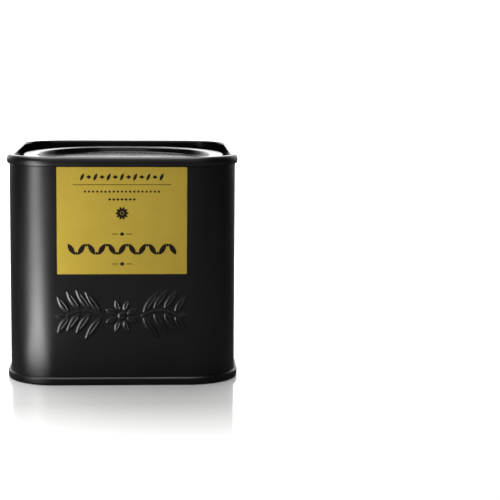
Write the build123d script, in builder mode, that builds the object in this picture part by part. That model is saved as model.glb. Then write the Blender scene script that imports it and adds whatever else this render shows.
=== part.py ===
"""Square spice tin: a tinplate body with a double-seamed bottom, a press-on lid, a paper label and its seeds.

Millimetres, +Z up. The origin is the middle of the base, where the bottom seam stands on the table,
and the label is on the side that faces -Y.
"""
from build123d import *
import os

os.makedirs("parts", exist_ok=True)

# ---- driving dimensions -------------------------------------------------------------------------
body_width = 65.0            # outside of the side walls, the same both ways
tin_height = 65.0            # from the table to the crest of the closed lid
corner_radius = 13.5         # outside of the body wall, in plan
sheet = 0.25                 # lacquered tinplate, the same for body, bottom and lid

# bottom double seam: five layers of sheet, folded into each other
seam_slack = 0.03            # between two layers of the pressed seam
seam_height = 2.3            # from the table to the top of the outer fold
seam_foot_bend = 0.40        # bend between the foot of the seam and its two walls
hook_tip_room = 0.10         # left free beyond the tip of each hook
panel_recess = 2.0           # underside of the bottom panel, up from the table
panel_bend = 0.60            # bend between the bottom panel and its wall

# mouth of the body
curl_diameter = 1.2          # outward curl round the mouth
neck_inset = 0.65            # how far the neck steps in from the wall, sheet middle to sheet middle
neck_drop = 2.7              # from the crest of the lid to where the neck starts
neck_length = 1.0            # height over which the neck steps in
neck_bend = 0.60
curl_headroom = 0.10         # between the curl and the inside of the lid's rim

# lock seam of the body sheet, down the inside of one rear corner
lock_seam_width = 3.5
lock_seam_fold = 0.25        # how far the folded layer stands in from the wall

# lid
rim_clearance = 0.20         # between the curl and the lid, on either side of the curl
rim_crest_flat = 0.10        # flat left between the two bends over the crest of the rim
skirt_height = 2.5           # from the crest to the cut edge of the skirt
well_depth = 4.0             # from the crest down to the floor in the lid's corners
well_bend = 0.45
ring_wall_gap = 1.15         # between the raised round ring and the wall of the well, at its nearest
ring_width = 4.0             # the ring stiffens the lid
ring_drop = 1.7              # from the crest down to the top of the ring
ring_slope = 0.60            # how far the flanks of the ring lean out on their way down
ring_bend = 0.40
centre_drop = 3.3            # from the crest down to the round panel inside the ring

# label
label_side_margin = 0.75     # flat wall left bare on either side of the label
label_height = 30.3
label_paper = 0.10
label_below_skirt = 0.30     # bare wall between the skirt of the lid and the top of the label

# contents
seed_headroom = 9.5          # from the crest of the lid down to the top of the fill
seed_clearance = 0.10        # between the fill and the metal round it

# ---- heights and places that follow from them ---------------------------------------------------
half_width = body_width / 2
corner_centre = half_width - corner_radius        # centre lines of the four corners, along X and Y
wall_mid = half_width - sheet / 2                 # middle of the body sheet, out from the axis
layer = sheet + seam_slack                        # from one layer of the seam to the next
curl_radius = (curl_diameter - sheet) / 2         # to the middle of the curled sheet
neck_mid = wall_mid - neck_inset                  # middle of the neck's sheet
curl_centre_out = neck_mid + curl_radius
curl_centre_up = tin_height - sheet - curl_headroom - curl_diameter / 2
skirt_mid = curl_centre_out + curl_diameter / 2 + rim_clearance + sheet / 2
plug_mid = curl_centre_out - curl_diameter / 2 - rim_clearance - sheet / 2
crest_mid = tin_height - sheet / 2                # middle of the sheet at the lid's crest
rim_bend = (skirt_mid - plug_mid - rim_crest_flat) / 2
skirt_edge = tin_height - skirt_height            # cut edge of the lid's skirt


def folded_sheet(corners, bends):
    """Section of a folded sheet in the XZ plane, from the line through the middle of the sheet."""
    with BuildSketch(Plane.XZ) as section:
        with BuildLine():
            FilletPolyline(*corners, radius=bends)
            offset(amount=sheet / 2, side=Side.BOTH)
        make_face()
    return section.sketch.face()


def round_the_tin(section):
    """Carry a section along the four straight sides and round the four corners of the tin."""
    with BuildPart() as quarter:
        extrude(section, amount=corner_centre, both=True)
        revolve(
            section.moved(Location((0, corner_centre, 0))),
            axis=Axis((corner_centre, corner_centre, 0), (0, 0, 1)),
            revolution_arc=90,
        )
    with BuildPart() as ring:
        for turn in range(4):
            add(quarter.part, rotation=(0, 0, 90 * turn))
    return ring.part


# ---- body shell: one sheet, hooked at the foot and curled at the mouth --------------------------
body_foot = sheet + seam_slack + sheet / 2        # middle of the hook's foot, above the seam's own foot
hook_bend = sheet                                 # the two interlocked hooks bend round one more layer
body_hook_out = wall_mid + 2 * layer              # the hook stands outside the bottom's hook
body_hook_tip = seam_height - sheet / 2 - hook_bend - hook_tip_room
neck_foot = tin_height - neck_drop
neck_top = neck_foot + neck_length

with BuildSketch(Plane.XZ) as body_section:
    with BuildLine():
        FilletPolyline(
            (body_hook_out, body_hook_tip),
            (body_hook_out, body_foot),
            (wall_mid, body_foot),
            (wall_mid, neck_foot),
            (neck_mid, neck_top),
            (neck_mid, curl_centre_up),
            radius=[hook_bend, hook_bend, neck_bend, neck_bend / 2],
        )
        CenterArc((curl_centre_out, curl_centre_up), curl_radius, 180, -270)
        offset(amount=sheet / 2, side=Side.BOTH)
    make_face()

lock_seam_foot = seam_height + sheet
lock_seam_plane = Plane((-corner_centre, corner_centre, lock_seam_foot), x_dir=(1, 1, 0), z_dir=(0, 0, 1))
lock_seam_out = corner_radius - sheet             # inside of the wall, out from the corner's centre
with BuildPart() as body_shell:
    add(round_the_tin(body_section.sketch.face()))
    with BuildSketch(lock_seam_plane):
        Circle(lock_seam_out + sheet / 2)
        Circle(lock_seam_out - lock_seam_fold, mode=Mode.SUBTRACT)
        with Locations((0, lock_seam_out)):
            Rectangle(lock_seam_width, corner_radius, mode=Mode.INTERSECT)
    extrude(amount=neck_foot - lock_seam_foot - neck_bend)
body_shell.part.label = "body_shell"

# ---- bottom plate: its edge is rolled round the hook of the body --------------------------------
chuck_wall_mid = wall_mid - layer                 # the plate's own wall, just inside the body
seam_wall_mid = wall_mid + 3 * layer              # the outermost fold
plate_hook_out = wall_mid + layer                 # the plate's hook, between the wall and the body's hook
plate_hook_tip = body_foot + hook_bend + hook_tip_room
plate_edge = corner_centre + corner_radius / 2    # where the rolled edge meets the flat panel
panel_mid = panel_recess + sheet / 2
plate_section = folded_sheet(
    [
        (plate_hook_out, plate_hook_tip),
        (plate_hook_out, seam_height - sheet / 2),
        (seam_wall_mid, seam_height - sheet / 2),
        (seam_wall_mid, sheet / 2),
        (chuck_wall_mid, sheet / 2),
        (chuck_wall_mid, panel_mid),
        (plate_edge, panel_mid),
    ],
    [hook_bend, hook_bend, seam_foot_bend, seam_foot_bend, panel_bend],
)
with BuildPart() as bottom_plate:
    add(round_the_tin(plate_section))
    with BuildSketch(Plane.XY.offset(panel_recess)):
        RectangleRounded(2 * plate_edge, 2 * plate_edge, corner_radius / 2)
    extrude(amount=sheet)
bottom_plate.part.label = "bottom_plate"

# ---- lid: a rim that bridges the curl, a sunken well, and a raised round ring in it --------------
well_floor_mid = tin_height - well_depth - sheet / 2
well_edge = plug_mid - well_bend - sheet          # where the rim's sheet meets the flat of the floor
ring_mid = tin_height - ring_drop - sheet / 2
centre_mid = tin_height - centre_drop - sheet / 2
ring_outer_radius = plug_mid - sheet / 2 - ring_wall_gap
ring_inner_radius = ring_outer_radius - ring_width
rim_section = folded_sheet(
    [
        (skirt_mid, skirt_edge + sheet / 2),
        (skirt_mid, crest_mid),
        (plug_mid, crest_mid),
        (plug_mid, well_floor_mid),
        (well_edge - well_bend, well_floor_mid),
    ],
    [rim_bend, rim_bend, well_bend],
)
ring_foot_radius = ring_outer_radius + ring_slope
ring_section = folded_sheet(
    [
        (ring_foot_radius + sheet / 2, well_floor_mid),
        (ring_foot_radius - ring_bend, well_floor_mid),
        (ring_outer_radius, ring_mid),
        (ring_inner_radius, ring_mid),
        (ring_inner_radius - ring_slope, centre_mid),
        (ring_inner_radius / 2, centre_mid),
    ],
    [ring_bend, ring_bend, ring_bend, ring_bend],
)
with BuildPart() as lid:
    add(round_the_tin(rim_section))
    with BuildSketch(Plane.XY.offset(well_floor_mid - sheet / 2)):
        RectangleRounded(2 * well_edge, 2 * well_edge, well_edge - corner_centre)
    extrude(amount=sheet)
    with BuildSketch(Plane.XY.offset(well_floor_mid - sheet)):
        Circle(ring_foot_radius)
    extrude(amount=2 * sheet, mode=Mode.SUBTRACT)
    revolve(ring_section, axis=Axis.Z)
    with BuildSketch(Plane.XY.offset(centre_mid - sheet / 2)):
        Circle(ring_inner_radius / 2 + sheet)
    extrude(amount=sheet)
lid.part.label = "lid"

# ---- paper label, pasted on the front wall right under the lid ------------------------------------
label_top = skirt_edge - label_below_skirt
label_width = 2 * (corner_centre - label_side_margin)
with BuildPart() as front_label:
    with BuildSketch(Plane.XZ.offset(half_width)):
        with Locations((0, label_top - label_height / 2)):
            Rectangle(label_width, label_height)
    extrude(amount=label_paper)
front_label.part.label = "front_label"

# ---- the seeds, as one fill that stands on the bottom panel -----------------------------------------
fill_half_width = half_width - sheet - lock_seam_fold - seed_clearance
fill_foot = panel_recess + sheet + seed_clearance
with BuildPart() as mustard_seeds:
    with BuildSketch(Plane.XY.offset(fill_foot)):
        RectangleRounded(2 * fill_half_width, 2 * fill_half_width, fill_half_width - corner_centre)
    extrude(amount=tin_height - seed_headroom - fill_foot)
mustard_seeds.part.label = "mustard_seeds"

for piece in (body_shell, bottom_plate, lid, front_label, mustard_seeds):
    export_step(piece.part, f"parts/{piece.part.label}.step")
    box = piece.part.bounding_box()
    print(f"{piece.part.label}: {len(piece.part.solids())} solid, {piece.part.volume:.0f} mm3, "
          f"z {box.min.Z:.2f} to {box.max.Z:.2f}, half width {box.max.X:.2f}")
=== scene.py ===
# %% [markdown]
# # A square spice tin
# The tin is four things of very different character: thin lacquered sheet metal, a paper label, printing ink
# and seeds. The measured model gives the sizes and the moving lid. Here the sheet metal is folded again as
# smooth surfaces, because a soft highlight on black lacquer shows every flat facet, and the rest is dressed.

import math
import random

import bmesh
import bpy
import numpy as np
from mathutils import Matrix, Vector


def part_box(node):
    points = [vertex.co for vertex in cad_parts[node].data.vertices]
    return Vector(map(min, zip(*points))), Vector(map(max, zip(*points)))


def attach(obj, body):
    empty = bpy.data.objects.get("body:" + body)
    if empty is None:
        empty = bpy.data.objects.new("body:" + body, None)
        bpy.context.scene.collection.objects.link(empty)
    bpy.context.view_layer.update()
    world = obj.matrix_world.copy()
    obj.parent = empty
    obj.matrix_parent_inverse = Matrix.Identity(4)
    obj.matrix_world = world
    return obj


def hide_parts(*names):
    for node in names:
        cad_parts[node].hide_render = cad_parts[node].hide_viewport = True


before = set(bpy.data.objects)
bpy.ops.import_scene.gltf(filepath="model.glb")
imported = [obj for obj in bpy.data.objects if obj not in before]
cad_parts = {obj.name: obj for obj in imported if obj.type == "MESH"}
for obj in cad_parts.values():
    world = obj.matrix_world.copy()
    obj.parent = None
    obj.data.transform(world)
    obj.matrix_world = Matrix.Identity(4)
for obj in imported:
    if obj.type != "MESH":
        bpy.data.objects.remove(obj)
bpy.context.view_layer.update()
MM = 0.001

# %% [markdown]
# ## Sizes
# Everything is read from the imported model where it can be: the lid's box gives the rim, the bottom plate's box
# gives the seam, the label's box gives the label. The folds hidden inside those boxes are named here.

# %% Sizes read from the frame, and the folds of the sheet
_, bottom_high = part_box("bottom_plate")
shell_low, shell_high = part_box("body_shell")
lid_low, lid_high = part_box("lid")
label_low, label_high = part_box("front_label")
fill_low, fill_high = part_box("mustard_seeds")

SHEET = 0.25 * MM                       # tinplate
CREST = lid_high.z                      # top of the lid
SEAM_TOP = bottom_high.z                # top of the bottom seam
WALL = -label_high.y                    # outside of the body wall, out from the axis
CORNER = 19.0 * MM                      # centre of each rounded corner, along X and Y
CORNER_STEPS = 24                       # faces round each corner
BEND_STEPS = 6                          # faces round each fold
print("wall at", round(WALL / MM, 3), "crest at", round(CREST / MM, 3), "mm")

# %% [markdown]
# ## The camera comes first
# The tin is seen from a little above, almost square on, from about half a metre with a long lens, so that its
# sides stay nearly parallel. The camera tilts down only slightly, and a small shift does the rest.

# %% Camera
VIEWPOINT = Vector((6.6, -438.4, 99.5)) * MM
AIM = Vector((24.7, -32.5, 50.1)) * MM
LENS_MM = 104.8
ROLL = math.radians(0.3)

bpy.ops.object.camera_add(location=VIEWPOINT)
camera = bpy.context.object
camera.name = "camera"
camera.data.lens = LENS_MM
camera.data.sensor_width = 36.0
camera.data.shift_x = 0.08
camera.data.shift_y = -0.08
camera.rotation_euler = (AIM - VIEWPOINT).to_track_quat("-Z", "Y").to_euler()
camera.rotation_euler.rotate_axis("Z", ROLL)
camera.data.clip_start = 0.01
bpy.context.scene.camera = camera
print("camera", round((AIM - VIEWPOINT).length / MM), "mm from its aim")

# %% [markdown]
# ## Floor, backdrop and light
# Black lacquer shows its surroundings more than its own colour. A white sweep lies under and behind the tin. A
# small soft box that leans back on the floor at the left draws the upright highlight on the corner, and a
# second one, flat on the floor before it, carries the highlight down to the foot. A wide one overhead whitens
# the floor and lines the crest of the lid. In a studio black lacquer is kept black with dark cards laid round
# it. Here there are no cards: the floor's colour is painted dark only in the mirror image, as dark as a card
# and darkest behind the tin. That is painted shade in the tin's reflections.

# %% Helpers for colour and nodes
def toLinear(hex_colour):
    """An sRGB hex colour as the linear RGBA that shaders take."""
    channels = [int(hex_colour[i:i + 2], 16) / 255 for i in (1, 3, 5)]
    return tuple(c / 12.92 if c <= 0.04045 else ((c + 0.055) / 1.055) ** 2.4 for c in channels) + (1.0,)


def add_node(tree, kind, settings=None, **links):
    """Add a node, set its properties, and fill its sockets with values or with the outputs of other nodes."""
    node = tree.nodes.new(kind)
    for name, value in (settings or {}).items():
        setattr(node, name, value)
    for name, value in links.items():
        key = int(name[1:]) if name[1:].isdigit() else name.replace("_", " ")
        if isinstance(value, bpy.types.NodeSocket):
            tree.links.new(value, node.inputs[key])
        else:
            node.inputs[key].default_value = value
    return node


def new_material(name):
    """An empty material, with its node tree and the output node to finish into."""
    material = bpy.data.materials.new(name)
    material.use_nodes = True
    material.node_tree.nodes.clear()
    output = add_node(material.node_tree, "ShaderNodeOutputMaterial")
    return material, material.node_tree, output


def clear_selection():
    """Leave edit mode and select nothing, so that the next operator acts on its own piece only."""
    if bpy.context.object and bpy.context.object.mode != "OBJECT":
        bpy.ops.object.mode_set(mode="OBJECT")
    bpy.ops.object.select_all(action="DESELECT")


# %% The sweep: floor and backdrop in one bent sheet
FLOOR_SIZE = 4.0
BACKDROP_AT = 0.9                       # how far behind the tin the sweep turns up
BACKDROP_HEIGHT = 1.0
GLOSS_SHARE = 0.38                      # of the floor's reflection, up to just before the tin
GLOSS_FADE_START, GLOSS_FADE_END = -0.054, -0.102
GLOSS_LOST_IN_MIRROR = 0.95             # the floor's own gloss is left out of what the tin mirrors
PAINTED_MIRROR_SHADE_FRONT_AT, PAINTED_MIRROR_SHADE_REAR_AT = -0.10, 0.02
PAINTED_MIRROR_SHADE_FRONT_LIGHTNESS, PAINTED_MIRROR_SHADE_REAR_LIGHTNESS = 0.24, 0.05      # painted shade: how light the floor looks in the mirror image, in front of the tin and behind it

clear_selection()
bpy.ops.mesh.primitive_plane_add(size=FLOOR_SIZE, location=(0, 0, 0))
bpy.ops.transform.translate(value=(0, BACKDROP_AT - FLOOR_SIZE / 2, 0))
bpy.ops.object.transform_apply(location=True)
sweep = bpy.context.object
sweep.name = "studio_sweep"
bpy.ops.object.mode_set(mode="EDIT")
mesh = bmesh.from_edit_mesh(sweep.data)
for edge in mesh.edges:
    edge.select = all(v.co.y > 0 for v in edge.verts)
mesh.select_mode = {"EDGE"}
mesh.select_flush_mode()
bmesh.update_edit_mesh(sweep.data)
bpy.ops.mesh.extrude_region_move(TRANSFORM_OT_translate={"value": (0, 0, BACKDROP_HEIGHT)})
bpy.ops.object.mode_set(mode="OBJECT")

floor_paint, tree, output = new_material("gloss_white_floor")
place = add_node(tree, "ShaderNodeTexCoord")
split = add_node(tree, "ShaderNodeSeparateXYZ", Vector=place.outputs["Object"])
fade = add_node(tree, "ShaderNodeMapRange", Value=split.outputs["Y"], From_Min=GLOSS_FADE_END,
                From_Max=GLOSS_FADE_START, To_Min=0.0, To_Max=GLOSS_SHARE)
ray = add_node(tree, "ShaderNodeLightPath")
white = add_node(tree, "ShaderNodeBsdfDiffuse", Color=toLinear("#FBFBFB"))
# Painted shade: glossy rays see the floor as a dark grey, lighter in front and darker behind the tin, where studio
# cards would be.
painted_mirror_shade = add_node(tree, "ShaderNodeMapRange", Value=split.outputs["Y"], From_Min=PAINTED_MIRROR_SHADE_FRONT_AT,
                      From_Max=PAINTED_MIRROR_SHADE_REAR_AT, To_Min=PAINTED_MIRROR_SHADE_FRONT_LIGHTNESS, To_Max=PAINTED_MIRROR_SHADE_REAR_LIGHTNESS)
mirror_shade_bsdf = add_node(tree, "ShaderNodeBsdfDiffuse", Color=painted_mirror_shade.outputs["Result"])
matte = add_node(tree, "ShaderNodeMixShader", _0=ray.outputs["Is Glossy Ray"],
                 _1=white.outputs["BSDF"], _2=mirror_shade_bsdf.outputs["BSDF"])
gloss = add_node(tree, "ShaderNodeBsdfGlossy", Color=toLinear("#FFFFFF"), Roughness=0.035)
less = add_node(tree, "ShaderNodeMath", {"operation": "MULTIPLY_ADD"}, _0=ray.outputs["Is Glossy Ray"],
                _1=-GLOSS_LOST_IN_MIRROR, _2=1.0)
share = add_node(tree, "ShaderNodeMath", {"operation": "MULTIPLY"}, _0=fade.outputs["Result"],
                 _1=less.outputs["Value"])
mixed = add_node(tree, "ShaderNodeMixShader", _0=share.outputs["Value"],
                 _1=matte.outputs["Shader"], _2=gloss.outputs["BSDF"])
tree.links.new(mixed.outputs["Shader"], output.inputs["Surface"])
wall_paint, tree, output = new_material("matt_white_backdrop")
wash = add_node(tree, "ShaderNodeBsdfDiffuse", Color=toLinear("#FBFBFB"))
tree.links.new(wash.outputs["BSDF"], output.inputs["Surface"])
sweep.data.materials.append(floor_paint)
sweep.data.materials.append(wall_paint)
for face in sweep.data.polygons:
    face.material_index = 1 if abs(face.normal.y) > 0.5 else 0
print("sweep", FLOOR_SIZE, "m wide, backdrop", BACKDROP_HEIGHT, "m high")


# %% Lights
def soft_box(name, place, target, size, radiance):
    """A rectangular light. Radiance is how bright its face is, where a white floor in full light is about 1."""
    clear_selection()
    bpy.ops.object.light_add(type="AREA", location=place)
    light = bpy.context.object
    light.name = name
    light.rotation_euler = (Vector(target) - Vector(place)).to_track_quat("-Z", "Y").to_euler()
    light.data.shape = "RECTANGLE"
    light.data.size, light.data.size_y = size
    light.data.energy = radiance * math.pi * size[0] * size[1]
    light.visible_camera = False
    return light


soft_box("key_box_left", (-0.098, -0.092, 0.039), (-0.038, -0.042, 0.101), (0.048, 0.096), 8.5)
soft_box("key_box_foot", (-0.068, -0.074, 0.003), (-0.0665, -0.0722, 0.053), (0.036, 0.074), 13)
soft_box("front_fill", (0, -0.75, 0.45), (0, 0, 0.03), (1.0, 0.5), 0.7)
soft_box("overhead_box", (-0.12, 0.13, 0.70), (-0.12, 0.13, 0), (0.60, 0.80), 4.6)
soft_box("backdrop_wash", (0, 0.45, 0.55), (0, 0.90, 0.25), (1.4, 0.30), 7)

scene = bpy.context.scene
scene.view_settings.view_transform = "Standard"
world = bpy.data.worlds.new("studio_air")
scene.world = world
world.use_nodes = True
world.node_tree.nodes["Background"].inputs["Color"].default_value = toLinear("#FFFFFF")
world.node_tree.nodes["Background"].inputs["Strength"].default_value = 0.04

# %% [markdown]
# ## Folded sheet metal
# A tin maker rolls one long profile round the whole tin. The same is done here: the profile is drawn point by
# point as a line through the middle of the sheet, its corners are rounded with a vertex bevel, and the line is
# spun round each corner of the tin and extruded along each side. Solidify then gives it the sheet's thickness.

# %% Draw a profile and carry it round the tin
SIDE_STEPS = 12                         # faces along each straight side


def edit(piece):
    """Open one piece in edit mode, by itself, and return its editable mesh."""
    clear_selection()
    piece.select_set(True)
    bpy.context.view_layer.objects.active = piece
    bpy.ops.object.mode_set(mode="EDIT")
    return bmesh.from_edit_mesh(piece.data)


def select_where(piece, kind, test):
    """In edit mode, select just the vertices, edges or faces that pass a test. Returns how many."""
    mesh = bmesh.from_edit_mesh(piece.data)
    mesh.select_mode = {kind}
    bpy.context.tool_settings.mesh_select_mode = [kind == k for k in ("VERT", "EDGE", "FACE")]
    for part in [*mesh.verts, *mesh.edges, *mesh.faces]:
        part.select = False
    chosen = [p for p in {"VERT": mesh.verts, "EDGE": mesh.edges, "FACE": mesh.faces}[kind] if test(p)]
    for part in chosen:
        part.select = True
    mesh.select_flush_mode()
    bmesh.update_edit_mesh(piece.data)
    return len(chosen)


def apply_modifier(piece, kind, **settings):
    """Add a modifier, set it and apply it, as its panel does."""
    clear_selection()
    piece.select_set(True)
    bpy.context.view_layer.objects.active = piece
    bpy.ops.object.modifier_add(type=kind)
    modifier = piece.modifiers[-1]
    for name, value in settings.items():
        setattr(modifier, name, value)
    bpy.ops.object.modifier_apply(modifier=modifier.name)


def draw_profile(name, points, bends):
    """Draw a line in the plane y = -CORNER through (out, up) points, and round its inner corners."""
    clear_selection()
    bpy.ops.mesh.primitive_plane_add(size=MM, location=(0, 0, 0))
    piece = bpy.context.object
    piece.name = name
    bpy.ops.object.mode_set(mode="EDIT")
    bpy.context.tool_settings.mesh_select_mode = (True, False, False)
    bpy.ops.mesh.select_all(action="SELECT")
    bpy.ops.mesh.merge(type="CENTER")
    corners = [Vector((out, -CORNER, up)) for out, up in points]
    bpy.ops.transform.translate(value=corners[0])
    for start, end in zip(corners, corners[1:]):
        bpy.ops.mesh.extrude_vertices_move(TRANSFORM_OT_translate={"value": end - start})
    for before, corner, after, bend in zip(corners, corners[1:], corners[2:], bends):
        turn = (corner - before).angle(after - corner)
        select_where(piece, "VERT", lambda v: (v.co - corner).length < 1e-7)
        bpy.ops.mesh.bevel(offset=bend * math.tan(turn / 2), segments=BEND_STEPS, affect="VERTICES",
                           clamp_overlap=False)
    return piece


def carry_round(piece):
    """Extrude the drawn line along the four sides and spin it round the four corners, and close the ring."""
    bpy.ops.mesh.select_all(action="SELECT")
    for quarter in range(4):
        turn = math.radians(90 * quarter)
        along = Vector((-math.sin(turn), math.cos(turn), 0))
        middle = Vector((math.cos(turn), math.sin(turn), 0)) * CORNER + along * CORNER
        for _ in range(SIDE_STEPS):
            bpy.ops.mesh.extrude_region_move(
                TRANSFORM_OT_translate={"value": along * (2 * CORNER / SIDE_STEPS)})
        bpy.ops.mesh.spin(steps=CORNER_STEPS, angle=math.radians(-90), center=middle, axis=(0, 0, 1))
    bpy.ops.mesh.select_all(action="SELECT")
    bpy.ops.mesh.remove_doubles(threshold=0.002 * MM)
    bpy.ops.mesh.normals_make_consistent(inside=False)
    bpy.ops.object.mode_set(mode="OBJECT")
    print(piece.name, len(piece.data.vertices), "vertices round the tin")


def finish_sheet(piece):
    """Give a surface the thickness of the sheet, and shade it so that flats stay flat and folds stay round."""
    apply_modifier(piece, "SOLIDIFY", thickness=SHEET, offset=0.0, use_even_offset=True)
    clear_selection()
    piece.select_set(True)
    bpy.context.view_layer.objects.active = piece
    bpy.ops.object.shade_smooth_by_angle(angle=math.radians(40))
    apply_modifier(piece, "WEIGHTED_NORMAL", keep_sharp=True, weight=50)


# %% [markdown]
# ## Body
# The body is one sheet, bent into a square tube. Its foot is hooked outward for the bottom seam. Its mouth is
# necked in by a sheet or two, so that the lid ends almost flush with the wall, and curled outward to a safe edge.

# %% Fold the body
SLACK = 0.03 * MM                       # between the layers of the bottom seam
LAYER = SHEET + SLACK
wall_mid = WALL - SHEET / 2
body_foot = shell_low.z + SHEET / 2
hook_bend = 0.25 * MM
hook_tip_room = 0.16 * MM               # left free beyond the tip of each hook
body_hook_tip = SEAM_TOP - SHEET / 2 - hook_bend - hook_tip_room
NECK_INSET, NECK_DROP, NECK_LENGTH = 0.65 * MM, 2.7 * MM, 1.0 * MM
WALL_FOOT_BEND, NECK_BEND = 0.6 * MM, 0.3 * MM
neck_mid = wall_mid - NECK_INSET
neck_foot = CREST - NECK_DROP
neck_top = neck_foot + NECK_LENGTH
curl_radius = 0.475 * MM
curl_out = neck_mid + curl_radius
curl_up = shell_high.z - SHEET / 2 - curl_radius
CURL_POINTS = 10
CURL_TURN = math.radians(270)

curl = [(curl_out - curl_radius * math.cos(a), curl_up + curl_radius * math.sin(a))
        for a in (CURL_TURN * (i + 1) / CURL_POINTS for i in range(CURL_POINTS))]
body = draw_profile(
    "tin_body",
    [(wall_mid + 2 * LAYER, body_hook_tip), (wall_mid + 2 * LAYER, body_foot), (wall_mid, body_foot),
     (wall_mid, neck_foot), (neck_mid, neck_top), (neck_mid, curl_up), *curl],
    [hook_bend, hook_bend, WALL_FOOT_BEND, NECK_BEND],
)
carry_round(body)

# %% [markdown]
# ## Lock seam
# The two ends of the body sheet are hooked together and pressed flat. From outside only a fine sunken line
# shows, down the rounded corner at the rear left. One edge of the corner is split by a bevel, and pressed in.

# %% Press the line of the lock seam
LINE_WIDTH, LINE_DEPTH = 0.22 * MM, 0.20 * MM


def on_seam_line(vertex):
    """Whether a vertex lies on the diagonal of the rear-left corner, on the plain height of the wall."""
    return (abs(vertex.co.x + vertex.co.y) < MM / 100 and vertex.co.x < 0
            and SEAM_TOP - MM < vertex.co.z < neck_foot)


edit(body)
select_where(body, "EDGE", lambda e: all(on_seam_line(v) for v in e.verts))
bpy.ops.mesh.bevel(offset=LINE_WIDTH, segments=2, affect="EDGES", clamp_overlap=False)
count = select_where(body, "VERT", on_seam_line)
bpy.ops.transform.translate(value=(LINE_DEPTH / math.sqrt(2), -LINE_DEPTH / math.sqrt(2), 0))
bpy.ops.object.mode_set(mode="OBJECT")
print("lock seam line through", count, "points")

# %% [markdown]
# ## Pressed ornament
# The lower front of the tin is embossed. A plain flower between two leafy branches fills that place. It is
# pushed out of the wall itself: the wall is cut fine there, each vertex gets a weight from how deep inside a
# leaf it lies, and a displacement presses it out by that weight.

# %% Cut the front wall fine where the press comes down
RELIEF_LOW, RELIEF_HIGH = 9.5 * MM, 30.5 * MM
RELIEF_HEIGHT = 0.30 * MM
ROWS, COLUMNS = 134, 19                 # cuts up the wall, and across each step of the side

edit(body)
for cut_height in (RELIEF_LOW, RELIEF_HIGH):
    select_where(body, "FACE", lambda f: abs(f.normal.y) > 0.99 and f.calc_center_median().y < -WALL + SHEET
                 and max(v.co.z for v in f.verts) - min(v.co.z for v in f.verts) > 10 * MM)
    bpy.ops.mesh.bisect(plane_co=(0, 0, cut_height), plane_no=(0, 0, 1))


def in_relief(edge):
    """Whether an edge lies in the part of the front wall that is pressed."""
    return all(v.co.y < -WALL + SHEET and RELIEF_LOW - MM / 50 < v.co.z < RELIEF_HIGH + MM / 50
               and abs(v.co.x) < CORNER + MM / 50 for v in edge.verts)


select_where(body, "EDGE", lambda e: in_relief(e) and abs(e.verts[0].co.z - e.verts[1].co.z) > MM)
bpy.ops.mesh.subdivide(number_cuts=ROWS)
select_where(body, "EDGE", lambda e: in_relief(e) and abs(e.verts[0].co.x - e.verts[1].co.x) > MM)
bpy.ops.mesh.subdivide(number_cuts=COLUMNS)
bpy.ops.object.mode_set(mode="OBJECT")
print("front wall cut into", len(body.data.polygons), "faces")

# %% Draw the ornament as a height over the wall
FLOWER = Vector((0, 19.9)) * MM
PETALS = 8
BRANCH_START, BRANCH_END = 5.4 * MM, 15.8 * MM
BRANCH_ARCH = 1.5 * MM
LEAF_PAIRS = 4                          # on each branch
LEAF_LEAN = math.radians(54)
SHOULDER = 0.58 * MM                    # width of the pressed slope round each shape
VEIN_WIDTH = 0.30 * MM


def smooth_step(value):
    value = np.clip(value, 0.0, 1.0)
    return value * value * (3 - 2 * value)


def leaf_height(x, z, foot, lean, length, width):
    """Height of one leaf, 0 to 1: two arcs that meet in points, a pressed shoulder and a groove for its vein."""
    along = (x - foot.x) * math.cos(lean) + (z - foot.y) * math.sin(lean)
    across = np.abs((z - foot.y) * math.cos(lean) - (x - foot.x) * math.sin(lean))
    share = np.clip(along / length, 0.0, 1.0)
    half_width = width / 2 * np.sin(math.pi * share ** 0.85) ** 0.8
    inside = np.where((along > 0) & (along < length), half_width - across, -MM)
    vein = smooth_step(1 - across / VEIN_WIDTH) * smooth_step((0.85 - share) * 6) * smooth_step((share - 0.1) * 8)
    return smooth_step(inside / SHOULDER) * (1 - 0.7 * vein)


def branch_rise(side):
    """How far the arched stem stands above the flower's middle, out along a branch."""
    return BRANCH_ARCH * math.sin((side - BRANCH_START) / (BRANCH_END - BRANCH_START) * math.pi)


def ornament_height(x, z):
    """Height of the whole ornament: a flower, and an arched branch with leaves on each side of it."""
    side = np.abs(x - FLOWER.x)
    height = smooth_step((1.3 * MM - np.hypot(x, z - FLOWER.y)) / SHOULDER)
    for petal in range(PETALS):
        lean = math.tau * (petal + 0.5) / PETALS
        foot = FLOWER + Vector((math.cos(lean), math.sin(lean))) * 1.5 * MM
        height = np.maximum(height, leaf_height(x, z, foot, lean, 3.6 * MM, 2.0 * MM))
    stem_middle = FLOWER.y + BRANCH_ARCH * np.sin((side - BRANCH_START) / (BRANCH_END - BRANCH_START) * math.pi)
    on_stem = (side > BRANCH_START) & (side < BRANCH_END)
    height = np.maximum(height, smooth_step((0.45 * MM - np.abs(z - stem_middle)) / SHOULDER) * on_stem)
    for pair in range(LEAF_PAIRS):
        out = BRANCH_START + 0.5 * MM + pair * 3.0 * MM
        for lean in (LEAF_LEAN, -LEAF_LEAN):
            foot = Vector((out, FLOWER.y + branch_rise(out) + math.copysign(0.6 * MM, lean)))
            height = np.maximum(height, leaf_height(side, z, foot, lean, (8.0 - 0.7 * pair) * MM, 2.35 * MM))
    return np.maximum(height, leaf_height(side, z, Vector((BRANCH_END, FLOWER.y)), 0.0, 3.0 * MM, 1.7 * MM))


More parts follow.
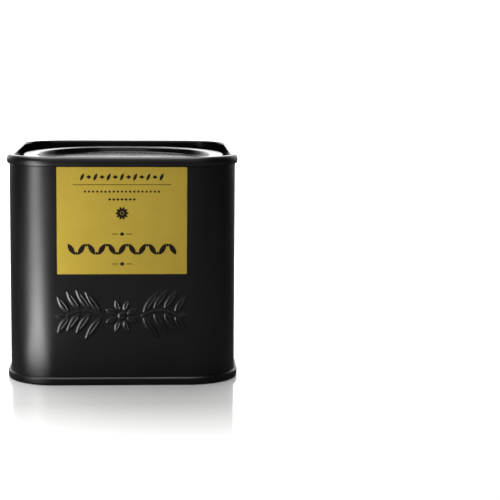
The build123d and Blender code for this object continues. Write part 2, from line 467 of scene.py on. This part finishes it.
# %% Press the ornament into the wall
press = body.vertex_groups.new(name="press")
front = [v for v in body.data.vertices
         if v.co.y < -WALL + SHEET and RELIEF_LOW < v.co.z < RELIEF_HIGH and abs(v.co.x) < CORNER]
weights = ornament_height(np.array([v.co.x for v in front]), np.array([v.co.z for v in front]))
for vertex, weight in zip(front, weights.tolist()):
    if weight > 0:
        press.add([vertex.index], weight, "REPLACE")
apply_modifier(body, "DISPLACE", direction="Y", strength=-RELIEF_HEIGHT, mid_level=0.0, vertex_group="press")
finish_sheet(body)
print("body", len(body.data.polygons), "faces")

# %% [markdown]
# ## Bottom
# The bottom plate's edge is rolled outward, up and back down behind the hook of the body. That double seam is
# the rounded bead round the foot of the tin, which it stands on. Inside it the panel is set up from the table.

# %% Fold the bottom plate and fill its panel
PANEL_RECESS = 2.0 * MM
PANEL_EDGE = CORNER + 6.75 * MM
TOP_FLAT, TOP_FALL = 1.7 * LAYER, 1.3 * LAYER       # the top of the seam is flat, and then slopes down outward
HOOK_BEND, SHOULDER_BEND, FOOT_BEND, PANEL_BEND = 0.10 * MM, 0.26 * MM, 0.40 * MM, 0.60 * MM
panel_mid = PANEL_RECESS + SHEET / 2
seam_top_mid = SEAM_TOP - SHEET / 2
seam_foot_mid = SHEET / 2

bottom = draw_profile(
    "bottom_seam_and_panel",
    [(wall_mid + LAYER, body_foot + hook_bend + hook_tip_room), (wall_mid + LAYER, seam_top_mid),
     (wall_mid + TOP_FLAT, seam_top_mid), (wall_mid + 3 * LAYER, seam_top_mid - TOP_FALL),
     (wall_mid + 3 * LAYER, seam_foot_mid), (wall_mid - LAYER, seam_foot_mid),
     (wall_mid - LAYER, panel_mid), (PANEL_EDGE, panel_mid)],
    [HOOK_BEND, SHOULDER_BEND, SHOULDER_BEND, FOOT_BEND, FOOT_BEND, PANEL_BEND],
)
carry_round(bottom)
edit(bottom)
count = select_where(bottom, "EDGE", lambda e: e.is_boundary and e.verts[0].co.z > panel_mid - SHEET / 4
                     and e.verts[1].co.z > panel_mid - SHEET / 4)
bpy.ops.mesh.edge_face_add()
bpy.ops.mesh.select_all(action="SELECT")
bpy.ops.mesh.normals_make_consistent(inside=False)
bpy.ops.object.mode_set(mode="OBJECT")
finish_sheet(bottom)
print("panel closed over", count, "edges;", len(bottom.data.polygons), "faces")

# %% [markdown]
# ## Lid
# The lid is one pressing. Its rim goes over the curl of the body like an upside-down U. Inside, the wall of the
# plug drops into a well, and out of the well stands a broad round ring, which stops the thin sheet from
# drumming. The square well becomes a circle by turning the loop's corners with To Sphere.

# %% Fold the rim of the lid
RIM_WIDTH = 1.85 * MM                   # from the skirt to the wall of the plug, middle to middle
CREST_FLAT = 0.10 * MM                  # left between the two bends over the crest
SKIRT_HEIGHT = 2.5 * MM
TAPER, TAPER_HEIGHT, TAPER_BEND = 0.12 * MM, 0.8 * MM, MM       # the cut edge is drawn in a little
skirt_mid = lid_high.x - SHEET / 2
plug_mid = skirt_mid - RIM_WIDTH
crest_mid = CREST - SHEET / 2
outer_bend = 1.20 * MM
inner_bend = skirt_mid - plug_mid - outer_bend - CREST_FLAT
skirt_edge = CREST - SKIRT_HEIGHT
well_mid = lid_low.z + SHEET / 2
well_bend = 0.45 * MM
well_edge = plug_mid - well_bend - MM / 50

lid = draw_profile(
    "lid_pressing",
    [(skirt_mid - TAPER, skirt_edge), (skirt_mid, skirt_edge + TAPER_HEIGHT), (skirt_mid, crest_mid),
     (plug_mid, crest_mid), (plug_mid, well_mid), (well_edge, well_mid)],
    [TAPER_BEND, outer_bend, inner_bend, well_bend],
)
carry_round(lid)


# %% Raise the ring out of the well
def inner_loop(height):
    """Select the open inner edge of the lid at a height. Returns its mean distance from the axis."""
    select_where(lid, "EDGE", lambda e: e.is_boundary and all(abs(v.co.z - height) < MM / 20 for v in e.verts))
    mesh = bmesh.from_edit_mesh(lid.data)
    reach = [v.co.xy.length for v in mesh.verts if v.select]
    return sum(reach) / len(reach)


def step_inwards(height, radius):
    """Extrude the inner loop to a new height and radius."""
    reach = inner_loop(step_inwards.height)
    bpy.ops.mesh.extrude_region_move()
    bpy.ops.transform.translate(value=(0, 0, height - step_inwards.height))
    bpy.ops.transform.resize(value=(radius / reach, radius / reach, 1), center_override=(0, 0, height))
    step_inwards.height = height


RING_OUTER = 30.0 * MM
RING_WIDTH = 4.0 * MM
RING_SLOPE = 0.60 * MM
RING_SETBACK = 0.35 * MM                # how far each fold of the ring starts from its corner
FOOT_SETBACK = 0.10 * MM                # the outer foot has little room beside the wall of the well
RING_CROWN = 0.12 * MM
RING_DROP, CENTRE_DROP = 1.7 * MM, 3.3 * MM         # from the crest down to the ring and to the round panel
PANEL_RISES = [(0.6, 0.35 * MM), (0.1, 0.45 * MM)]  # the panel bulges up: share of its radius, and how much
ring_top = CREST - RING_DROP - SHEET / 2
centre_floor = CREST - CENTRE_DROP - SHEET / 2
ring_inner = RING_OUTER - RING_WIDTH

edit(lid)
inner_loop(well_mid)
bpy.ops.mesh.extrude_region_move()
bpy.ops.transform.tosphere(value=1.0)
scale = (RING_OUTER + RING_SLOPE) / inner_loop(well_mid)
bpy.ops.transform.resize(value=(scale, scale, 1), center_override=(0, 0, well_mid))
step_inwards.height = well_mid
step_inwards(ring_top, RING_OUTER)
step_inwards(ring_top + RING_CROWN, RING_OUTER - RING_WIDTH / 2)
step_inwards(ring_top, ring_inner)
step_inwards(centre_floor, ring_inner - RING_SLOPE)
for share_of_radius, rise in PANEL_RISES:
    step_inwards(centre_floor + rise, ring_inner * share_of_radius)
inner_loop(step_inwards.height)
bpy.ops.mesh.edge_face_add()
folds = [(RING_OUTER + RING_SLOPE, well_mid, FOOT_SETBACK), (RING_OUTER, ring_top, RING_SETBACK),
         (ring_inner, ring_top, RING_SETBACK), (ring_inner - RING_SLOPE, centre_floor, RING_SETBACK)]
for radius, height, setback in folds:
    select_where(lid, "EDGE", lambda e: all(abs(v.co.xy.length - radius) < MM / 20
                                            and abs(v.co.z - height) < MM / 50 for v in e.verts))
    bpy.ops.mesh.bevel(offset=setback, segments=BEND_STEPS, affect="EDGES", clamp_overlap=False)
bpy.ops.mesh.select_all(action="SELECT")
bpy.ops.mesh.normals_make_consistent(inside=False)
bpy.ops.object.mode_set(mode="OBJECT")
finish_sheet(lid)
print("lid", len(lid.data.polygons), "faces, ring", round(2 * RING_OUTER / MM), "mm across")

# %% [markdown]
# ## Label
# The label is a sheet of uncoated paper, pasted flat under the lid. It is modelled as a thin flat sheet with
# very slightly eased corners and edges, though paste and paper never lie quite flat.

# %% Paste on the label
label_size = label_high - label_low
label_middle = (label_low + label_high) / 2
LABEL_CORNER = 0.25 * MM
LABEL_GAP = 0.004 * MM                  # between the paper and the lacquer, so that the two faces never touch

clear_selection()
bpy.ops.mesh.primitive_plane_add(size=1)
label = bpy.context.object
label.name = "paper_label"
edit(label)
bpy.context.tool_settings.mesh_select_mode = (True, False, False)
bpy.ops.mesh.select_all(action="SELECT")
bpy.ops.transform.resize(value=(label_size.x, label_size.z, 1))
bpy.ops.mesh.bevel(offset=LABEL_CORNER, segments=5, affect="VERTICES")
bpy.ops.transform.rotate(value=math.radians(-90), orient_axis="X", center_override=(0, 0, 0))
bpy.ops.transform.translate(value=(label_middle.x, -WALL - LABEL_GAP, label_middle.z))
bpy.ops.mesh.extrude_region_move(TRANSFORM_OT_translate={"value": (0, LABEL_GAP - label_size.y, 0)})
bpy.ops.mesh.select_all(action="SELECT")
bpy.ops.mesh.normals_make_consistent(inside=False)
bpy.ops.object.mode_set(mode="OBJECT")
apply_modifier(label, "BEVEL", width=0.02 * MM, segments=2, limit_method="ANGLE", angle_limit=math.radians(60))
LABEL_FACE = min(v.co.y for v in label.data.vertices)
print("label", round(label_size.x / MM, 1), "by", round(label_size.z / MM, 1), "mm, face at y",
      round(LABEL_FACE / MM, 3))

# %% [markdown]
# ## Print on the label
# The label carries no words. Where they would stand it has printer's ornaments: rules, lozenges, a rosette and
# a row of leaves and dots. Each mark is a flat primitive, shaped in edit mode, raised by the thickness of the
# ink and copied along its row.

# %% Marks of printing ink
INK = 0.012 * MM
marks = []


def print_mark(sides, width, height, x, z, tilt=0.0, pinch=1.0):
    """One flat mark of ink: a many-sided disc, stretched, pinched towards its ends, tilted and moved to its place."""
    clear_selection()
    bpy.ops.mesh.primitive_circle_add(vertices=sides, radius=0.5, fill_type="NGON")
    mark = bpy.context.object
    for vertex in mark.data.vertices:
        vertex.co.y = math.copysign(abs(2 * vertex.co.y) ** pinch / 2, vertex.co.y)
    edit(mark)
    bpy.ops.mesh.select_all(action="SELECT")
    bpy.ops.transform.resize(value=(width, height, 1))
    bpy.ops.transform.rotate(value=math.radians(-90), orient_axis="X", center_override=(0, 0, 0))
    bpy.ops.transform.rotate(value=tilt, orient_axis="Y", center_override=(0, 0, 0))
    bpy.ops.transform.translate(value=(x, LABEL_FACE, z))
    bpy.ops.mesh.extrude_region_move(TRANSFORM_OT_translate={"value": (0, -INK, 0)})
    bpy.ops.mesh.select_all(action="SELECT")
    bpy.ops.mesh.normals_make_consistent(inside=False)
    bpy.ops.object.mode_set(mode="OBJECT")
    marks.append(mark)
    return mark


def print_rule(width, height, x, z):
    """A straight rule: a square mark turned flat, so that its corners stay sharp."""
    mark = print_mark(4, 1.0, 1.0, 0, 0)
    edit(mark)
    bpy.ops.mesh.select_all(action="SELECT")
    bpy.ops.transform.rotate(value=math.radians(45), orient_axis="Y", center_override=(0, 0, 0))
    bpy.ops.transform.resize(value=(width * math.sqrt(2), 1, height * math.sqrt(2)),
                             center_override=(0, 0, 0))
    bpy.ops.transform.translate(value=(x, 0, z))
    bpy.ops.object.mode_set(mode="OBJECT")


def print_leaf(length, width, x, z, tilt):
    """A printed leaf, pointed at both ends."""
    return print_mark(28, length, width, x, z, tilt, pinch=1.8)


label_x = label_middle.x
rows = {name: label_high.z - down * MM for name, down in
        {"head": 2.8, "rule": 4.95, "fine": 6.9, "small": 9.1, "rosette": 13.0, "upper": 18.9, "main": 23.2,
         "lower": 27.4}.items()}
for place in range(-6, 7):
    if place % 2 == 0:
        print_leaf(2.3 * MM, 0.85 * MM, label_x + place * 1.85 * MM, rows["head"], math.radians(65))
    else:
        print_mark(4, 1.5 * MM, 1.15 * MM, label_x + place * 1.85 * MM, rows["head"])
print_rule(27.6 * MM, 0.16 * MM, label_x, rows["rule"])
for place in range(-9, 10):
    print_mark(12, 0.62 * MM, 0.62 * MM, label_x + place * 1.15 * MM, rows["fine"])
for place in range(-3, 4):
    print_mark(4, 0.95 * MM, 0.80 * MM, label_x + place * 1.15 * MM, rows["small"])
for petal in range(10):
    angle = math.tau * petal / 10
    reach = 1.15 * MM
    print_leaf(1.5 * MM, 0.72 * MM, label_x + reach * math.cos(angle), rows["rosette"] + reach * math.sin(angle),
               angle)
print_mark(16, 0.80 * MM, 0.80 * MM, label_x, rows["rosette"])
for row in ("upper", "lower"):
    print_rule(1.6 * MM, 0.22 * MM, label_x - 2.0 * MM, rows[row])
    print_rule(1.6 * MM, 0.22 * MM, label_x + 2.0 * MM, rows[row])
    print_mark(4, 1.5 * MM, 1.25 * MM, label_x, rows[row])
for place in range(-5, 6):
    x = label_x + place * 2.85 * MM
    print_leaf(3.7 * MM, 1.45 * MM, x, rows["main"], math.radians(58 if place % 2 == 0 else 122))
    if place < 5:
        drop = 1.15 * MM if place % 2 == 0 else -1.15 * MM
        print_mark(12, 0.80 * MM, 0.80 * MM, x + 1.425 * MM, rows["main"] + drop)

clear_selection()
for mark in marks:
    mark.select_set(True)
bpy.context.view_layer.objects.active = marks[0]
bpy.ops.object.join()
label_print = marks[0]
label_print.name = "label_print"
print("print of", len(marks), "marks,", len(label_print.data.polygons), "faces")

# %% [markdown]
# ## Mustard seeds
# A seed is a slightly flattened ball. One is modelled and copied. Each copy is dropped where the fill is lowest
# and rolls downhill over its neighbours until it lies in a pocket, which gives the loose, uneven surface of
# poured seeds. Only the top layers are single seeds: below them the fill is one body that nobody sees.

# %% Model one seed
SEED_RADII = (0.98 * MM, 1.22 * MM)
random.seed(11)

clear_selection()
bpy.ops.mesh.primitive_ico_sphere_add(subdivisions=2, radius=1.0)
seed = bpy.context.object
seed.name = "one_seed"
edit(seed)
bpy.context.tool_settings.mesh_select_mode = (True, False, False)
select_where(seed, "VERT", lambda v: v.co.z > 0.95)
bpy.ops.transform.translate(value=(0, 0, -0.10))
bpy.ops.object.mode_set(mode="OBJECT")
seed_points = np.array([v.co for v in seed.data.vertices])
seed_faces = np.array([f.vertices[:] for f in seed.data.polygons])
bpy.data.objects.remove(seed)
print("one seed has", len(seed_faces), "faces")

# %% Pour the seeds
FILL_HALF = fill_high.x
FILL_CORNER = FILL_HALF - CORNER
BED = fill_high.z - 4.0 * MM            # the single seeds lie on the bulk of the fill from here up
SEEDS = 2050
CELL = 2.6 * MM
mound_middle = Vector((7.0, 3.0)) * MM
grid = {}


def mound(x, y):
    """How much higher the fill is heaped at a place."""
    heap = 2.2 * MM * math.exp(-((x - mound_middle.x) ** 2 + (y - mound_middle.y) ** 2) / (15 * MM) ** 2)
    ripple = 0.5 * MM * math.sin(x / (7.3 * MM) + 0.8) * math.cos(y / (8.9 * MM) - 0.4)
    return heap + ripple


def inside(x, y, radius):
    """Whether a seed fits at a place, inside the wall and its round corners."""
    reach = FILL_HALF - radius
    if abs(x) > reach or abs(y) > reach:
        return False
    out_x, out_y = abs(x) - CORNER, abs(y) - CORNER
    return out_x <= 0 or out_y <= 0 or math.hypot(out_x, out_y) <= FILL_CORNER - radius


def rest_height(x, y, radius):
    """How high a seed comes to rest if it is let down straight at a place."""
    height = BED + radius * 0.6
    column, line = int(x // CELL), int(y // CELL)
    for near in ((column + i, line + j) for i in (-1, 0, 1) for j in (-1, 0, 1)):
        for other_x, other_y, other_z, other_radius in grid.get(near, ()):
            span = (x - other_x) ** 2 + (y - other_y) ** 2
            touch = (radius + other_radius) ** 2
            if span < touch:
                height = max(height, other_z + math.sqrt(touch - span))
    return height


poured = []
for count in range(SEEDS):
    radius = random.uniform(*SEED_RADII)
    tries = []
    while len(tries) < 5:
        x, y = random.uniform(-FILL_HALF, FILL_HALF), random.uniform(-FILL_HALF, FILL_HALF)
        if inside(x, y, radius):
            z = rest_height(x, y, radius)
            tries.append((z - mound(x, y), x, y, z))
    _, x, y, z = min(tries)
    for stride in (0.7, 0.45, 0.25, 0.12):
        for direction in range(8):
            angle = math.radians(45 * direction)
            next_x, next_y = x + stride * radius * math.cos(angle), y + stride * radius * math.sin(angle)
            if inside(next_x, next_y, radius):
                next_z = rest_height(next_x, next_y, radius)
                if next_z < z:
                    x, y, z = next_x, next_y, next_z
    grid.setdefault((int(x // CELL), int(y // CELL)), []).append((x, y, z, radius))
    poured.append((x, y, z, radius))
print("highest seed at", round(max(z + r for x, y, z, r in poured) / MM, 1), "mm")

# %% Copy the seed to every place, each turned and stretched a little differently
rng = np.random.default_rng(5)


def turned(points):
    """The points turned at random."""
    axis = rng.normal(size=3)
    axis /= np.linalg.norm(axis)
    angle = rng.uniform(0, 2 * math.pi)
    cross = np.array([[0, -axis[2], axis[1]], [axis[2], 0, -axis[0]], [-axis[1], axis[0], 0]])
    turn = np.eye(3) + math.sin(angle) * cross + (1 - math.cos(angle)) * cross @ cross
    return points @ turn.T


points, faces, tones = [], [], []
for number, (x, y, z, radius) in enumerate(poured):
    stretch = np.array([1.0, rng.uniform(0.90, 1.0), rng.uniform(0.86, 0.98)])
    points.append(turned(seed_points * stretch) * radius + (x, y, z))
    faces.append(seed_faces + number * len(seed_points))
    tones.append(np.full(len(seed_points), rng.uniform()))
seeds_mesh = bpy.data.meshes.new("poured_seeds")
seeds_mesh.from_pydata(np.concatenate(points).tolist(), [], np.concatenate(faces).tolist())
tone = seeds_mesh.attributes.new("seed_tone", "FLOAT", "POINT")
tone.data.foreach_set("value", np.concatenate(tones).astype(np.float32))
seeds = bpy.data.objects.new("poured_seeds", seeds_mesh)
bpy.context.scene.collection.objects.link(seeds)
clear_selection()
seeds.select_set(True)
bpy.context.view_layer.objects.active = seeds
bpy.ops.object.shade_smooth()
print("poured", len(poured), "seeds,", len(seeds_mesh.polygons), "faces")

# %% The bulk of the fill under them
clear_selection()
bpy.ops.mesh.primitive_plane_add(size=2 * FILL_HALF, location=(0, 0, 0))
bulk = bpy.context.object
bulk.name = "bulk_of_the_fill"
edit(bulk)
bpy.context.tool_settings.mesh_select_mode = (True, False, False)
bpy.ops.mesh.select_all(action="SELECT")
bpy.ops.mesh.bevel(offset=FILL_CORNER, segments=16, affect="VERTICES")
bpy.ops.transform.translate(value=(0, 0, fill_low.z))
bpy.ops.mesh.extrude_region_move(TRANSFORM_OT_translate={"value": (0, 0, BED - fill_low.z)})
select_where(bulk, "FACE", lambda f: f.normal.z > 0.9 and f.calc_center_median().z > BED - MM)
bpy.ops.mesh.inset(thickness=2 * MM, depth=0.4 * MM)
bpy.ops.mesh.select_all(action="SELECT")
bpy.ops.mesh.normals_make_consistent(inside=False)
bpy.ops.object.mode_set(mode="OBJECT")
print("bulk from", round(fill_low.z / MM, 2), "to", round(BED / MM, 2), "mm")

# %% [markdown]
# ## Finishes
# Each finish starts from how the real surface was made. Pattern scales are written as the size of one grain in
# millimetres, and turned into the scale of a noise node.

# %% Helpers for patterns
def grain(tree, size_mm, detail=2.0, roughness=0.5, stretch=(1.0, 1.0, 1.0)):
    """A noise pattern on the piece's own coordinates, with grains of a real size. Stretch lengthens it by axis."""
    place = add_node(tree, "ShaderNodeTexCoord")
    mapping = add_node(tree, "ShaderNodeMapping", Vector=place.outputs["Object"],
                       Scale=tuple(1.0 / s for s in stretch))
    return add_node(tree, "ShaderNodeTexNoise", Vector=mapping.outputs["Vector"], Scale=1.0 / (size_mm * MM),
                    Detail=detail, Roughness=roughness)


def colour_ramp(tree, source, stops):
    """A ramp from hex colours at places from 0 to 1."""
    ramp = add_node(tree, "ShaderNodeValToRGB", Fac=source)
    while len(ramp.color_ramp.elements) < len(stops):
        ramp.color_ramp.elements.new(0.5)
    for element, (position, colour) in zip(ramp.color_ramp.elements, stops):
        element.position = position
        element.color = toLinear(colour)
    return ramp.outputs["Color"]


def shader(tree, output, **settings):
    """The surface shader, joined to the output."""
    surface = add_node(tree, "ShaderNodeBsdfPrincipled", **settings)
    tree.links.new(surface.outputs["BSDF"], output.inputs["Surface"])
    return surface


# %% Black lacquer on tinplate
# Roller-coated and baked before the sheet is pressed: a satin black film with a fine orange peel that softens
# highlights, and a faint unevenness of gloss where the folding rolls have rubbed it. The lid is drawn from sheet
# with a smoother film, so it is glossier. The matting agent lowers the reflection of both.
def bake_lacquer(name, smoothest, roughest, relief):
    """Black lacquer. Its roughness wanders between two values, and relief scales its orange peel and tooth."""
    material, tree, output = new_material(name)
    peel = grain(tree, 0.9, detail=1.0)
    tooth = grain(tree, 0.12, detail=2.0)
    peel_bump = add_node(tree, "ShaderNodeBump", Height=peel.outputs["Fac"], Strength=0.30 * relief,
                         Distance=0.003 * MM)
    tooth_bump = add_node(tree, "ShaderNodeBump", Height=tooth.outputs["Fac"], Normal=peel_bump.outputs["Normal"],
                          Strength=0.35 * relief, Distance=0.0015 * MM)
    rubbed = grain(tree, 9.0, detail=4.0, stretch=(1.0, 1.0, 2.5))
    rough = add_node(tree, "ShaderNodeMapRange", Value=rubbed.outputs["Fac"], From_Min=0.3, From_Max=0.7,
                     To_Min=smoothest, To_Max=roughest)
    film = colour_ramp(tree, grain(tree, 0.3, detail=3.0).outputs["Fac"], [(0.30, "#040404"), (0.75, "#080807")])
    shader(tree, output, Base_Color=film, Roughness=rough.outputs["Result"], Normal=tooth_bump.outputs["Normal"],
           IOR=1.5, Specular_IOR_Level=0.42)
    return material


lacquer = bake_lacquer("black_baked_lacquer_on_tinplate", 0.30, 0.38, 1.0)
lid_lacquer = bake_lacquer("smooth_black_lacquer_on_the_lid", 0.16, 0.20, 0.1)

# %% Label paper
# Uncoated paper, printed mustard all over: matte, with short fibres that take the ink unevenly.
paper, tree, output = new_material("uncoated_label_paper")
fibres = grain(tree, 0.22, detail=5.0, roughness=0.65, stretch=(2.4, 1.0, 1.0))
clouds = grain(tree, 6.0, detail=3.0)
mottle = add_node(tree, "ShaderNodeMath", {"operation": "MULTIPLY_ADD"}, _0=clouds.outputs["Fac"], _1=0.35,
                  _2=fibres.outputs["Fac"])
tint = colour_ramp(tree, mottle.outputs["Value"], [(0.38, "#8A7625"), (0.68, "#937E29"), (0.98, "#9A8630")])
fibre_bump = add_node(tree, "ShaderNodeBump", Height=fibres.outputs["Fac"], Strength=0.35, Distance=0.01 * MM)
shader(tree, output, Base_Color=tint, Roughness=0.82, Normal=fibre_bump.outputs["Normal"], IOR=1.45,
       Specular_IOR_Level=0.25)

# %% Printing ink
# A dark brown-black ink, pressed into the paper: it lets the fibres show as a slight unevenness.
ink, tree, output = new_material("brown_black_printing_ink")
fibres = grain(tree, 0.22, detail=5.0, roughness=0.65, stretch=(2.4, 1.0, 1.0))
depth = colour_ramp(tree, fibres.outputs["Fac"], [(0.35, "#0F0803"), (0.75, "#1E1408")])
shader(tree, output, Base_Color=depth, Roughness=0.65, IOR=1.5, Specular_IOR_Level=0.12)

# %% Mustard seed
# The hull of a yellow mustard seed is smooth and waxy, from straw to tan, with a few reddish or greenish ones.
hull, tree, output = new_material("waxy_mustard_seed_hull")
tone_of_seed = add_node(tree, "ShaderNodeAttribute", {"attribute_name": "seed_tone"})
spots = grain(tree, 0.7, detail=3.0)
tone_mix = add_node(tree, "ShaderNodeMath", {"operation": "MULTIPLY_ADD"}, _0=spots.outputs["Fac"], _1=0.22,
                    _2=tone_of_seed.outputs["Fac"])
hull_colour = colour_ramp(tree, tone_mix.outputs["Value"], [
    (0.02, "#A8713C"), (0.16, "#B98B45"), (0.34, "#CC9A50"), (0.55, "#D9A860"), (0.72, "#C98F42"),
    (0.88, "#E3BC7D"), (1.0, "#BF7F55")])
pits = grain(tree, 0.15, detail=2.0)
pit_bump = add_node(tree, "ShaderNodeBump", Height=pits.outputs["Fac"], Strength=0.3, Distance=0.02 * MM)
shader(tree, output, Base_Color=hull_colour, Roughness=0.42, Normal=pit_bump.outputs["Normal"], IOR=1.45,
       Subsurface_Weight=0.08, Subsurface_Scale=0.5 * MM)

# %% The shaded bulk of the fill
# Seen only as dark gaps between the top seeds.
gaps, tree, output = new_material("shaded_seed_bulk")
lumps = grain(tree, 2.2, detail=2.0)
shade = colour_ramp(tree, lumps.outputs["Fac"], [(0.35, "#5A3616"), (0.7, "#94622E")])
lump_bump = add_node(tree, "ShaderNodeBump", Height=lumps.outputs["Fac"], Strength=0.8, Distance=0.8 * MM)
shader(tree, output, Base_Color=shade, Roughness=0.7, Normal=lump_bump.outputs["Normal"])

# %% [markdown]
# ## Put it together
# Each piece gets its finish, rides on the body that carries it, and stands for the measured part that it shows.
# The skirt of the lid is rubbed by the tools and by hands, until it is as satin as the wall below it.

# %% Finishes, bodies and slots
SKIRT_BAND = 0.6 * MM                   # how far the satin film reaches in from the skirt

pieces = [
    (body, lacquer, "tin", "black_lacquered_tinplate", ["body_shell"]),
    (bottom, lacquer, "tin", "black_lacquered_tinplate", ["bottom_plate"]),
    (lid, lid_lacquer, "lid", "black_lacquered_tinplate", ["lid"]),
    (label, paper, "tin", "label_paper", ["front_label"]),
    (label_print, ink, "tin", "label_paper", []),
    (seeds, hull, "tin", "mustard_seed", ["mustard_seeds"]),
    (bulk, gaps, "tin", "mustard_seed", []),
]
for piece, finish, carrier, slot, stands_for in pieces:
    piece.data.materials.clear()
    piece.data.materials.append(finish)
    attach(piece, carrier)
    if stands_for:
        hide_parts(*stands_for)
lid.data.materials.append(lacquer)
for face in lid.data.polygons:
    beyond = Vector((max(abs(face.center.x) - CORNER, 0), max(abs(face.center.y) - CORNER, 0)))
    face.material_index = 1 if beyond.length > skirt_mid - CORNER - SKIRT_BAND else 0
for name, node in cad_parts.items():
    finish = {"front_label": paper, "mustard_seeds": hull, "lid": lid_lacquer}.get(name, lacquer)
    for place in node.material_slots:
        place.material = finish
    print(name, "is shown by", [p[0].name for p in pieces if name in p[4]])
